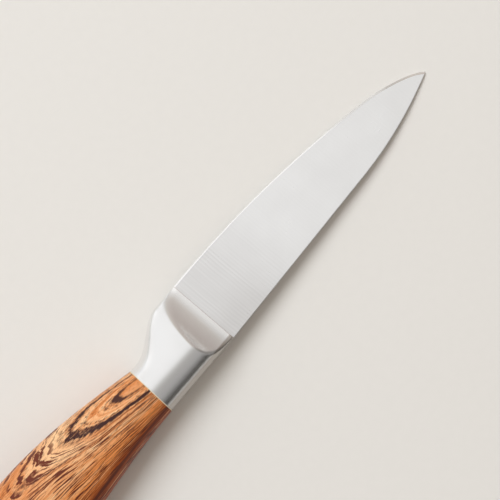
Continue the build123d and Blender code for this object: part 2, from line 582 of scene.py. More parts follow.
def tang_outline(sizes: KnifeSizes, front: float, gap: float) -> list[Flat]:
    """The tang's outline, larger by gap all round, from its rounded end to front.

    Args:
        sizes: The knife's sizes.
        front: Where the outline ends towards the tip.
        gap: The room left round the tang.

    Returns:
        The outline's corners along and across.
    """
    half = sizes.tang_height / 2 + gap
    end_half = sizes.tang_end_height / 2 + gap
    turn = sizes.tang_end_height / 2 - sizes.tang_length
    corners = TANG_END_CORNERS
    angles = [pi / 2 + pi * corner / corners for corner in range(corners + 1)]
    end = [(turn + end_half * cos(angle), end_half * sin(angle)) for angle in angles]
    return [(front, half), (0.0, half), *end, (0.0, -half), (front, -half)]


def pin_round(sizes: KnifeSizes, place: float) -> list[Flat]:
    """The outline of a pin's bore.

    Args:
        sizes: The knife's sizes.
        place: The pin's place behind the joint.

    Returns:
        The outline's corners along and across.
    """
    radius = sizes.pin_radius
    angles = [2 * pi * corner / PIN_CORNERS for corner in range(PIN_CORNERS)]
    return [(radius * cos(angle) - place, radius * sin(angle)) for angle in angles]


def cut_pins(piece: bpy.types.Object, sizes: KnifeSizes, rest: Rest) -> None:
    """Cuts both pins' bores, blind in the wood.

    Args:
        piece: The piece that is cut.
        sizes: The knife's sizes.
        rest: How the knife lies.
    """
    for place in sizes.pin_places:
        half = sizes.handle_half(place) - sizes.pin_cover
        combine(piece, prism(rest, pin_round(sizes, place), half), "DIFFERENCE")


# Finishes


@dataclass(frozen=True)
class Grain:
    """How a noise is stretched along three axes, moved along the third, and how fine it is."""

    scales: tuple[float, float, float] = (1.0, 1.0, 1.0)
    shift: float = 0.0
    detail: float = 2.0
    roughness: float = 0.5


class Wiring:
    """Adds the nodes of a material or of a shader node group."""

    def __init__(self, tree: bpy.types.NodeTree, rest: Rest) -> None:
        """Keeps the tree and how the knife lies."""
        self.tree = tree
        self.rest = rest

    def knife_place(self) -> bpy.types.NodeSocket:
        """Works out knife coordinates from the point's place on the object.

        Returns:
            The coordinates in millimetres.
        """
        rest = self.rest
        source = self.tree.nodes.new("ShaderNodeTexCoord")
        mapping = self.tree.nodes.new("ShaderNodeMapping")
        mapping.vector_type = "TEXTURE"
        mapping.inputs["Location"].default_value = (MM * rest.x, MM * rest.y, MM * rest.z)
        mapping.inputs["Rotation"].default_value = (0.0, rest.lean, 0.0)
        mapping.inputs["Scale"].default_value = (MM, MM, MM)
        self.tree.links.new(source.outputs["Object"], mapping.inputs["Vector"])
        return mapping.outputs[0]

    def feed(
        self,
        node: bpy.types.Node,
        values: "dict[str, Field | bpy.types.NodeSocket | Colour | float]",
    ) -> None:
        """Gives a node's named inputs their values."""
        for label, value in values.items():
            feed(self.tree, node.inputs[label], value)

    def split(self, vector: bpy.types.NodeSocket) -> tuple[Field, Field, Field]:
        """The vector's three parts."""
        return split(self.tree, vector)

    def grey(self, shade: Field) -> bpy.types.NodeSocket:
        """The grey colour of this shade."""
        return join(self.tree, shade, shade, shade)

    def noise(self, axes: Sequence["Field | float"], grain: Grain) -> Field:
        """Reads a noise along three axes.

        Args:
            axes: The three axes.
            grain: How the noise lies along them.

        Returns:
            The noise, around 0.5.
        """
        first, second, third = (axis * scale for axis, scale in zip(axes, grain.scales))
        node = self.tree.nodes.new("ShaderNodeTexNoise")
        values = {"Scale": 1.0, "Detail": grain.detail, "Roughness": grain.roughness}
        place = join(self.tree, first, second, third + grain.shift)
        self.feed(node, {"Vector": place, **values})
        return Field(self.tree, node.outputs["Fac"])

    def ramp(self, field: Field, stops: Stops) -> bpy.types.NodeSocket:
        """Turns a number into a colour.

        Args:
            field: The number, from 0 to 1.
            stops: The colours and their places.

        Returns:
            The colour at the field's value.
        """
        node = self.tree.nodes.new("ShaderNodeValToRGB")
        marks = node.color_ramp.elements
        while len(marks) < len(stops):
            marks.new(1.0)
        for mark, (place, colour) in zip(marks, stops):
            mark.position = place
            mark.color = (*colour, 1.0)
        self.tree.links.new(field.socket, node.inputs["Fac"])
        return node.outputs["Color"]

    def mix(
        self,
        share: "Field | float",
        first: "bpy.types.NodeSocket | Colour",
        second: "bpy.types.NodeSocket | Colour",
        mode: str = "MIX",
    ) -> bpy.types.NodeSocket:
        """Mixes two colours.

        Args:
            share: How much of the second is used.
            first: The first colour.
            second: The second colour.
            mode: The way of mixing.

        Returns:
            The mixed colour.
        """
        node = self.tree.nodes.new("ShaderNodeMix")
        node.data_type = "RGBA"
        node.blend_type = mode
        for number, value in ((0, share), (6, first), (7, second)):
            feed(self.tree, node.inputs[number], value)
        return node.outputs[2]

    def bump(self, height: Field, depth: float) -> bpy.types.NodeSocket:
        """Turns a relief into a normal.

        Args:
            height: The relief.
            depth: Its depth in millimetres.

        Returns:
            The surface's normal.
        """
        node = self.tree.nodes.new("ShaderNodeBump")
        self.feed(node, {"Distance": depth * MM, "Height": height})
        return node.outputs[0]

    def use(
        self, group: bpy.types.NodeTree, place: bpy.types.NodeSocket, **values: float
    ) -> dict[str, Field]:
        """Places a shared node group.

        Args:
            group: The group.
            place: The knife coordinates that it reads.
            values: Its other inputs by name.

        Returns:
            Its outputs by name.
        """
        node = self.tree.nodes.new("ShaderNodeGroup")
        node.node_tree = group
        self.feed(node, {"Place": place, **values})
        return {output.name: Field(self.tree, output) for output in node.outputs}


@dataclass
class SharedEffects:
    """The shader node groups that more than one finish uses."""

    rest: Rest
    sway: Grain = Grain((0.12, 0.09, 0.09), detail=1.0)
    depth: Grain = Grain((0.45, 0.03, 0.03), detail=1.0)
    fine: Grain = Grain((3.0, 0.06, 0.06))
    line_slant: float = 0.012
    wave_weight: float = 0.25
    fine_weight: float = 0.6
    patches: Grain = Grain(detail=3.0)
    hair: Grain = Grain(detail=1.0)
    hair_fineness: float = 5.0
    hair_run: float = 0.25
    hair_slants: Flat = (0.1, 1.2)
    hair_range: Flat = (0.66, 0.74)

    def __post_init__(self) -> None:
        """Builds each group once."""
        self.grinding = self._grinding()
        self.handling = self._handling()

    def _start(
        self, name: str, inputs: Sequence[str], outputs: Sequence[str]
    ) -> tuple[Wiring, dict[str, Field], bpy.types.Node]:
        """Starts a group.

        Args:
            name: The group's name.
            inputs: Its number inputs.
            outputs: Its number outputs.

        Returns:
            The wiring, the inputs by name, and the node that takes the outputs.
        """
        tree = bpy.data.node_groups.new(name, "ShaderNodeTree")
        face = tree.interface
        face.new_socket(name="Place", in_out="INPUT", socket_type="NodeSocketVector")
        for way, labels in (("INPUT", inputs), ("OUTPUT", outputs)):
            for label in labels:
                face.new_socket(name=label, in_out=way, socket_type="NodeSocketFloat")
        enter = tree.nodes.new("NodeGroupInput")
        leave = tree.nodes.new("NodeGroupOutput")
        given = {output.name: Field(tree, output) for output in enter.outputs if output.name}
        return Wiring(tree, self.rest), given, leave

    def _grinding(self) -> bpy.types.NodeTree:
        """Draws fine straight lines across the knife, as a grinding belt leaves them.

        Returns:
            The group.
        """
        inputs = ("Spacing", "Waviness")
        wiring, given, leave = self._start("Grinding lines", inputs, ("Lines", "Relief"))
        x, v, z = wiring.split(given["Place"].socket)
        sway = wiring.noise((x, v, z), self.sway) - 0.5
        along = (x + v * self.line_slant + sway * given["Waviness"]) / given["Spacing"]
        wave = calc(wiring.tree, "SINE", along * (2 * pi))
        depth = share_of(wiring.noise((along, v, z), self.depth), *NOISE_RANGE)
        fine = wiring.noise((along, v, z), self.fine) - 0.5
        lines = 0.5 + wave * depth * self.wave_weight + fine * self.fine_weight
        wiring.feed(leave, {"Lines": lines, "Relief": lines - 0.5})
        return wiring.tree

    def _handling(self) -> bpy.types.NodeTree:
        """Draws faint soft patches and hair scratches that handling leaves.

        Returns:
            The group.
        """
        wiring, given, leave = self._start("Handling marks", ("Patch",), ("Patches", "Scratches"))
        x, v, z = wiring.split(given["Place"].socket)
        patch = given["Patch"]
        patches = wiring.noise((x / patch, v / patch, z / patch), self.patches)
        thin = self.hair_fineness
        by_v, by_x = self.hair_slants
        slanted = (x * self.hair_run + v * by_v, v * thin - x * by_x, z * thin)
        hair = wiring.noise(slanted, self.hair)
        marks = {
            "Patches": share_of(patches, *NOISE_RANGE),
            "Scratches": share_of(hair, *self.hair_range),
        }
        wiring.feed(leave, marks)
        return wiring.tree


def new_material(name: str, rest: Rest) -> tuple[bpy.types.Material, bpy.types.Node, Wiring]:
    """Starts a material.

    Args:
        name: The material's name.
        rest: How the knife lies.

    Returns:
        The material, its Principled shader node and its wiring.
    """
    material = bpy.data.materials.new(name)
    material.use_nodes = True
    tree = material.node_tree
    return material, tree.nodes["Principled BSDF"], Wiring(tree, rest)


@dataclass(frozen=True)
class GroundSteel:
    """Satin steel, ground across the knife, with painted shade and a partly painted highlight in
    its colour.

    Pairs of numbers are the values between which something comes up.
    """

    name: str
    colour: Colour
    # The colour of the painted shade near the joint and towards the spine.
    near_shade: Colour
    roughness: float
    spacing: float
    contrast: float
    fade_start: float
    fade_end: float
    relief: float
    # How strongly painted shade darkens the strip along the back.
    back_painted_shade: float = 0.0
    # How much the polished bevel is whitened, partly as a painted highlight.
    bevel_polish_and_highlight: float = 0.0
    waviness: float = 0.6
    patch_size: float = 9.0
    patch_shade: float = 0.015
    far_strength: float = 0.2
    near_shade_share: float = 0.6
    near_shade_across: Flat = (6.0, -9.0)
    white: Colour = (1.0, 1.0, 1.0)
    bevel_tilt: Flat = (0.12, 0.18)
    bevel_roughness: float = 0.12
    back_shade_across: Flat = (-5.9, -6.4)
    back_shade_colour: Colour = (0.54, 0.5, 0.46)
    rough_weights: tuple[float, float, float] = (0.2, 0.02, 0.008)

    def build(self, effects: SharedEffects) -> bpy.types.Material:
        """Makes the material.

        Args:
            effects: The shared node groups.

        Returns:
            The material.
        """
        material, shader, wiring = new_material(self.name, effects.rest)
        place = wiring.knife_place()
        x, v, _ = wiring.split(place)
        ground = wiring.use(effects.grinding, place, Spacing=self.spacing, Waviness=self.waviness)
        marks = wiring.use(effects.handling, place, Patch=self.patch_size)
        far = ease(share_of(x, self.fade_start, self.fade_end))
        strength = blend(1.0, self.far_strength, far)
        lines = (ground["Lines"] - 0.5) * strength * self.contrast

        # Painted shade: darker near the joint end, and darker still towards the spine.
        near = ease(share_of(x, self.fade_end, self.fade_start))
        to_spine = ease(share_of(v, *self.near_shade_across))
        warmth = near * self.near_shade_share + near * to_spine * (1.0 - self.near_shade_share)
        base = wiring.mix(warmth, self.colour, self.near_shade)
        # The bevel is whitened where its normal turns to the lit side: partly polish, partly a
        # painted highlight.
        shape = wiring.tree.nodes.new("ShaderNodeNewGeometry")
        _, tilt, _ = wiring.split(shape.outputs["True Normal"])
        bevel = share_of(tilt, *self.bevel_tilt) * self.bevel_polish_and_highlight
        base = wiring.mix(bevel, base, self.white)
        # Painted shade: a darker strip along the back, a painted reflection of the shaded table.
        painted_back_shade = self.back_painted_shade * share_of(v, *self.back_shade_across)
        back = wiring.mix(painted_back_shade, self.white, self.back_shade_colour)
        base = wiring.mix(1.0, base, back, "MULTIPLY")
        shade = 1.0 + lines - marks["Patches"] * self.patch_shade
        colour = wiring.mix(1.0, base, wiring.grey(shade), "MULTIPLY")

        by_lines, by_patches, by_scratches = self.rough_weights
        rough = self.roughness + lines * by_lines + marks["Patches"] * by_patches
        rough = blend(rough - marks["Scratches"] * by_scratches, self.bevel_roughness, bevel)
        normal = wiring.bump(ground["Relief"] * strength, self.relief)
        values = {"Base Color": colour, "Roughness": rough, "Normal": normal, "Metallic": 1.0}
        wiring.feed(shader, values)
        return material


@dataclass(frozen=True)
class LoopedWood:
    """Orange-brown wood with dark streaks that run in nested loops, and painted shade towards its
    back.

    A loop's width is a share of the handle's height. Pairs named range, rise or behind are the
    values between which something comes up, and behind is in millimetres from the joint.
    """

    name: str
    sizes: KnifeSizes
    cream: Colour = (0.90, 0.56, 0.30)
    peach: Colour = (0.79, 0.36, 0.15)
    orange: Colour = (0.62, 0.21, 0.06)
    shade_orange: Colour = (0.90, 0.30, 0.07)
    # The saturated orange and the red-brown are the colours of the painted shade towards the back.
    brown: Colour = (0.33, 0.095, 0.028)
    shade_red_brown: Colour = (0.34, 0.06, 0.01)
    streak_brown: Colour = (0.20, 0.04, 0.014)
    dark: Colour = (0.05, 0.019, 0.017)

    slow: Grain = Grain((0.05, 0.16, 0.16), shift=3.0, detail=1.0)
    quick: Grain = Grain((0.28, 0.9, 0.9))
    broad: Grain = Grain((0.03, 26.0, 1.0))
    streaks: Grain = Grain((0.08, 80.0, 1.0), shift=11.0, detail=3.0, roughness=0.65)
    fine: Grain = Grain((0.2, 4.5, 4.5), roughness=0.6)
    ragged: Grain = Grain((0.5, 2.2, 2.2), detail=3.0, roughness=0.7)
    hairlines: Grain = Grain((0.025, 52.0, 1.0), shift=5.0, detail=1.0)
    dashes: Grain = Grain((0.14, 95.0, 1.0), shift=8.0, detail=1.0)
    pores: Grain = Grain((0.5, 6.5, 6.5), shift=4.0, detail=1.0)

    axis: float = 0.757
    axis_drift: float = 0.0033
    loop_reach: float = 22.6
    belly_squeeze: float = 0.2
    slow_sway: float = 0.05
    quick_sway: float = 0.02
    tip_sway: float = 2.4
    tip_growth: float = 0.3
    tip_start: float = 24.5
    tip_softness: float = 8.0
    tip_power: float = 1.7
    tip_weight: float = 0.054
    side_drift: float = 0.02
    layer_jump: float = 7.0
    layer_drift: float = 0.12

    tone_weights: tuple[float, float, float] = (0.4, 0.4, 0.2)
    tone_range: Flat = (0.34, 0.6)
    tone_places: tuple[float, ...] = (0.0, 0.3, 0.62, 1.0)
    pale_ring: Flat = (0.3, 0.07)
    pale_behind: Flat = (17.0, 26.0)
    pale_weight: float = 0.75
    heart_width: float = 0.1
    heart_edge: float = 0.025
    heart_swing: float = 0.05
    heart_weight: float = 0.65
    # Painted shade: orange over the back half, red-brown nearest the back.
    back_half_shade_rise: Flat = (0.52, 0.26)
    back_half_shade_weight: float = 0.75
    back_half_shade_break: float = 0.35
    back_shade_rise: Flat = (0.27, 0.1)
    back_shade_swing: float = 0.3
    back_shade_weight: float = 0.92
    # A thin paler line along the back outline.
    back_pale_line: Flat = (0.04, 0.014)
    back_pale_line_weight: float = 0.7

    big_loop: float = 0.2325
    big_halves: Flat = (0.027, 0.012)
    small_loop: float = 0.095
    small_halves: Flat = (0.012, 0.019)
    loop_edge: Flat = (-0.006, 0.008)
    raggedness: float = 0.05
    torn_range: Flat = (0.36, 0.5)
    torn_share: float = 0.5
    tip_behind: Flat = (15.0, 23.0)
    tip_thinning: float = 0.002
    small_behind: Flat = (4.0, 7.5)
    dark_behind: Flat = (3.0, 7.0)
    small_weights: Flat = (0.85, 0.97)
    thin_loops: tuple[tuple[float, float, float], ...] = (
        (0.128, 0.009, 0.85),
        (0.192, 0.011, 0.9),
        (0.262, 0.014, 0.75),
        (0.315, 0.009, 0.5),
        (0.352, 0.009, 0.75),
        (0.395, 0.008, 0.6),
    )
    thin_loop_spread: float = 1.6
    thin_loop_range: Flat = (0.47, 0.58)
    outer_rise: Flat = (0.25, 0.31)
    hairline_range: Flat = (0.575, 0.64)
    dash_range: Flat = (0.545, 0.61)
    pore_range: Flat = (0.62, 0.72)
    pore_weight: float = 0.6
    ridge: Flat = (0.1, 0.035)
    ridge_swing: float = 0.04
    ridge_weight: float = 0.7
    ridge_dark: float = 0.6
    fine_dark: float = 0.4

    patch_size: float = 14.0
    roughness: float = 0.34
    dark_roughness: float = 0.12
    patch_roughness: float = 0.06
    relief: float = 0.03
    fine_relief: float = 0.3
    specular: float = 0.18
    coat: float = 0.04
    coat_roughness: float = 0.25

    def _rings(
        self, wiring: Wiring, place: bpy.types.NodeSocket
    ) -> tuple[Field, Field, Field, Field]:
        """Works out the loops that the grain follows.

        Args:
            wiring: The material's wiring.
            place: The knife coordinates.

        Returns:
            The loop's width, the place behind the joint, the share from back to belly, and
            1 on the belly's side of the loops' middle line.
        """
        x, v, z = wiring.split(place)
        behind = most(0.0 - x, 0.0)
        sizes = self.sizes
        joint = sizes.joint_height / 2
        rise = calc(wiring.tree, "SINE", least(behind / sizes.swell_place, 1.0) * (pi / 2))
        belly = joint + rise * (sizes.swell_belly - joint)
        back = joint + ease(least(behind / sizes.back_place, 1.0)) * (sizes.swell_back - joint)
        share = (v + back) / (belly + back)
        slow, quick = (wiring.noise((x, v, z), grain) - 0.5 for grain in (self.slow, self.quick))
        axis = self.axis + least(behind, self.loop_reach) * self.axis_drift
        upper = share > axis
        off = (share - axis) * (1.0 + upper * self.belly_squeeze)
        off = off + slow * self.slow_sway + quick * self.quick_sway
        slower = behind * self.tip_growth + self.tip_start
        tip = calc(wiring.tree, "SMOOTH_MIN", behind, slower, self.tip_softness)
        tip = most(tip + quick * self.tip_sway, 0.0) / self.loop_reach
        width = (abs(off) ** 2.0 + tip**self.tip_power * self.tip_weight) ** 0.5
        return width + most(0.0 - z, 0.0) * self.side_drift, behind, share, upper

    def _loops(self, width: Field, behind: Field, upper: Field, ragged: Field) -> Field:
        """Draws the dark loops.

        Args:
            width: The loop's width.
            behind: The place behind the joint.
            upper: 1 on the belly's side of the loops' middle line.
            ragged: The noise that tears their edges.

        Returns:
            How dark the loops are.
        """
        rough_edge = (ragged - 0.5) * self.raggedness
        to_tip = ease(share_of(behind, *self.tip_behind))
        big_half = blend(*self.big_halves, upper) - to_tip * self.tip_thinning
        big = share_of(big_half - abs(width - self.big_loop) + rough_edge, *self.loop_edge)
        torn = share_of(ragged, *self.torn_range)
        kept = self.torn_share
        big = big * blend(1.0, kept + torn * (1.0 - kept), to_tip)
        small_half = blend(*self.small_halves, ease(share_of(behind, *self.small_behind)))
        small = share_of(small_half - abs(width - self.small_loop) + rough_edge, *self.loop_edge)
        darker = ease(share_of(behind, *self.dark_behind))
        loops = most(big, small * blend(*self.small_weights, darker))
        broken = share_of(ragged, *self.thin_loop_range)
        for middle, half, weight in self.thin_loops:
            thin = band(width, middle, half * self.thin_loop_spread) * broken * weight
            loops = most(loops, thin)
        return loops

    def build(self, effects: SharedEffects) -> bpy.types.Material:
        """Makes the material.

        Args:
            effects: The shared node groups.

        Returns:
            The material.
        """
        material, shader, wiring = new_material(self.name, effects.rest)
        place = wiring.knife_place()
        x, v, z = wiring.split(place)
        width, behind, share, upper = self._rings(wiring, place)
        along = (x, width, upper * self.layer_jump + z * self.layer_drift)

        broad, streak, hairlines, dashes = (
            wiring.noise(along, grain)
            for grain in (self.broad, self.streaks, self.hairlines, self.dashes)
        )
        fine, ragged, pores = (
            wiring.noise((x, v, z), grain) for grain in (self.fine, self.ragged, self.pores)
        )
        by_broad, by_streak, by_fine = self.tone_weights
        tone = broad * by_broad + streak * by_streak + fine * by_fine
        tones = (self.brown, self.orange, self.peach, self.cream)
        base = wiring.ramp(share_of(tone, *self.tone_range), tuple(zip(self.tone_places, tones)))

        swing = streak - 0.5
        pale = band(width, *self.pale_ring) * ease(share_of(behind, *self.pale_behind))
        inside = self.heart_width + swing * self.heart_swing - width
        heart = share_of(inside, 0.0, self.heart_edge)
        # Painted shade: the back half turns a saturated orange, and the part nearest the back
        # red-brown.
        back_half_shade = self.back_half_shade_weight - share_of(streak, *NOISE_RANGE) * self.back_half_shade_break
        back_shade = ease(share_of(share + swing * self.back_shade_swing, *self.back_shade_rise))
        outer = ease(share_of(width, *self.outer_rise))
        hairlines = share_of(hairlines, *self.hairline_range)
        thin = most(hairlines, share_of(dashes, *self.dash_range)) * outer
        ridge_place, ridge_half = self.ridge
        ridge = band(share, ridge_place + swing * self.ridge_swing, ridge_half)
        pores = share_of(pores, *self.pore_range) * self.pore_weight
        fine_marks = most(most(thin, pores), ridge * self.ridge_weight)
        loops = self._loops(width, behind, upper, ragged)
        dark = most(most(loops, fine_marks * self.fine_dark), ridge * self.ridge_dark)
        for weight, colour in (
            (pale * self.pale_weight, self.cream),
            (heart * self.heart_weight, self.orange),
            (ease(share_of(share, *self.back_half_shade_rise)) * back_half_shade, self.shade_orange),
            (back_shade * self.back_shade_weight, self.shade_red_brown),
            # A thin paler line along the back outline.
            (band(share, *self.back_pale_line) * self.back_pale_line_weight, self.peach),
            (fine_marks, self.streak_brown),
            (dark, self.dark),
        ):
            base = wiring.mix(weight, base, colour)

        patches = wiring.use(effects.handling, place, Patch=self.patch_size)["Patches"]
        rough = self.roughness + dark * self.dark_roughness + patches * self.patch_roughness
        values = {
            "Base Color": base,
            "Roughness": rough,
            "Normal": wiring.bump(fine * self.fine_relief - dark, self.relief),
            "Specular IOR Level": self.specular,
            "Coat Weight": self.coat,
            "Coat Roughness": self.coat_roughness,
        }
        wiring.feed(shader, values)
        return material


@dataclass(frozen=True)
class CastResin:
    """A plain cast or cured resin with faint clouds."""

    name: str
    colour: Colour
    cloud: Colour
    roughness: float
    patch_size: float = 1.6
    patch_roughness: float = 0.08
    relief: float = 0.004

    def build(self, effects: SharedEffects) -> bpy.types.Material:
        """Makes the material.

        Args:
            effects: The shared node groups.

        Returns:
            The material.
        """
        material, shader, wiring = new_material(self.name, effects.rest)
        place = wiring.knife_place()
        patches = wiring.use(effects.handling, place, Patch=self.patch_size)["Patches"]
        values = {
            "Base Color": wiring.mix(patches, self.colour, self.cloud),
            "Roughness": self.roughness + patches * self.patch_roughness,
            "Normal": wiring.bump(patches, self.relief),
        }
        wiring.feed(shader, values)
        return material


# Sub-assemblies


def turned(heading: Vector, angle: float) -> Vector:
    """Turns a heading.

    Args:
        heading: The heading.
        angle: The turn in radians.

    Returns:
        The new heading.
    """
    return Vector(
        (
            heading.x * cos(angle) - heading.y * sin(angle),
            heading.x * sin(angle) + heading.y * cos(angle),
        )
    )


@dataclass
class Blade:
    """The flat ground blade with its sharpened bevel and its hidden tang."""

    sizes: KnifeSizes
    rest: Rest
    edge_thickness: float = 0.22
    bevel_angle: float = 16.0
    blank_height: float = 1.02
    spine_round: float = 0.14
    edge_flat_share: float = 0.06
    edge_shares: tuple[tuple[float, float, float], ...] = (
        (0.632, 0.728, 1.0),
        (0.815, 0.519, 0.85),
        (0.958, 0.198, 0.6),
        (1.0, 0.0, 0.5),
    )
    spine_shares: Flat = (0.632, 0.768)
    soft_width: float = 4.0
    edge_steps: tuple[int, ...] = (36, 24, 18, 12)
    spine_steps: int = 54
    flat_steps: int = 8
    crisp_angle: float = 7.0

    def _arc(
        self, start: Vector, heading: Vector, end: Vector, steps: int
    ) -> tuple[list[Vector], Vector]:
        """An arc that leaves start along heading and reaches end.

        Args:
            start: Its first point.
            heading: Its direction there.
            end: Its last point.
            steps: The number of its parts.

        Returns:
            Its points without the first, and its direction at the end.
        """
        chord = end - start
        turn = atan2(heading.x * chord.y - heading.y * chord.x, heading.dot(chord))
        points = []
        for step in range(1, steps + 1):
            part = turn * step / steps
            straight = abs(turn) <= STRAIGHT
            reach = chord.length * (step / steps if straight else sin(part) / sin(turn))
            points.append(start + reach * turned(heading, part))
        return points, turned(heading, 2 * turn)

    def _lines(self, height: float) -> tuple[list[Vector], list[Vector]]:
        """The blank's spine and edge at a height over the middle plane.

        Args:
            height: The height, at which the bevel has moved the edge in.

        Returns:
            The points of the spine and of the edge, from the heel to the point of the blade.
        """
        sizes = self.sizes
        front = sizes.bolster_length
        inset = height / tan(radians(self.bevel_angle))
        along = Vector((1.0, 0.0))
        steps = self.edge_steps
        turn_place, turn_height = self.spine_shares
        turn = Vector(
            (front + turn_place * sizes.blade_length, -turn_height * sizes.spine_height)
        )
        heel = Vector((front, -sizes.spine_height))
        tip = Vector((sizes.tip_place, 0.0))
        spine_heading = (turn - heel).normalized()
        spine_arc, spine_end = self._arc(turn, spine_heading, tip, self.spine_steps)
        ends = [Vector((front + self.edge_flat_share * sizes.blade_length, sizes.heel_depth))]
        heading = along
        moved = [ends[0] - Vector((0.0, inset))]
        for (place, depth, width), count in zip(self.edge_shares, steps):
            end = Vector((front + place * sizes.blade_length, depth * sizes.heel_depth))
            _, heading = self._arc(ends[-1], heading, end, count)
            ends.append(end)
            moved.append(end + Vector((heading.y, -heading.x)) * inset * width)
        angle = spine_end.angle(heading)
        arc_length = sum((b - a).length for a, b in zip([turn, *spine_arc], spine_arc))
        slide = inset * self.edge_shares[-1][2] / sin(angle) / arc_length
        last = (1.0 - slide) * len(spine_arc)
        whole = min(int(last), len(spine_arc) - 1)
        before = turn if whole == 0 else spine_arc[whole - 1]
        moved[-1] = before.lerp(spine_arc[whole], last - whole)
        heel_edge = Vector((front, sizes.heel_depth - inset))
        flat = self.flat_steps
        edge = [heel_edge.lerp(moved[0], step / flat) for step in range(flat + 1)]
        heading = along
        for start, end, count in zip(moved, moved[1:], steps):
            points, heading = self._arc(start, heading, end, count)
            edge.extend(points)
        top_arc, _ = self._arc(turn, spine_heading, moved[-1], self.spine_steps)
        run = len(edge) - len(top_arc) - 1
        spine = [heel.lerp(turn, step / run) for step in range(run + 1)]
        return spine + top_arc, edge

    def _on_grind(self, low: Vector, high: Vector) -> Vector:
        """The point of the flat grind on a line of the blank.

        Args:
            low: The line's point in the middle plane.
            high: Its point at the blank's height.

        Returns:
            The point's three knife coordinates.
        """
        sizes = self.sizes
        at_edge = self.edge_thickness / 2
        at_spine = sizes.spine_thickness / 2
        across = (at_edge - at_spine) / (sizes.heel_depth + sizes.spine_height)
        at_axis = at_edge - across * sizes.heel_depth
        along = (sizes.tip_thickness / 2 - at_axis) / sizes.blade_length
        start = at_axis + along * (low.x - sizes.bolster_length) + across * low.y
        change = along * (high.x - low.x) + across * (high.y - low.y)
        share = start / (self.blank_height - change)
        point = low.lerp(high, share)
        return Vector((point.x, point.y, share * self.blank_height))

    def build(self, finish: bpy.types.Material) -> bpy.types.Object:
        """Builds the blade from the lines that its sections share.

        Args:
            finish: Its material.

        Returns:
            The piece.
        """
        low_lines = self._lines(0.0)
        high_lines = self._lines(self.blank_height)
        rows = []
        for low, edge, high, high_edge in zip(*low_lines, *high_lines):
            spine = self._on_grind(low, high)
            bevel = self._on_grind(edge, high_edge)
            width = (bevel - spine).length
            soft = self.spine_round * min(1.0, width / self.soft_width)
            face = spine.lerp(bevel, soft / max(width, soft, NO_WIDTH))
            wall = spine - Vector((0.0, 0.0, soft))
            middle = (spine + 0.5 * (face + wall)) / 2
            upper = [wall, middle, face, bevel]
            lower = [Vector((point.x, point.y, -point.z)) for point in reversed(upper)]
            row = [Vector((*low, 0.0)), *upper, Vector((*edge, 0.0)), *lower]
            rows.append([self.rest.place(*point) for point in row])
        piece = closed_mesh("ground_blade", rows)
        tang = prism(
            self.rest,
            tang_outline(self.sizes, self.sizes.bolster_length, 0.0),
            self.sizes.spine_thickness / 2,
        )
        combine(piece, tang, "UNION")
        cut_pins(piece, self.sizes, self.rest)
        tidy(piece, finish, sharp=self.crisp_angle)
        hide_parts("blade")
        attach(piece, "root")
        return piece


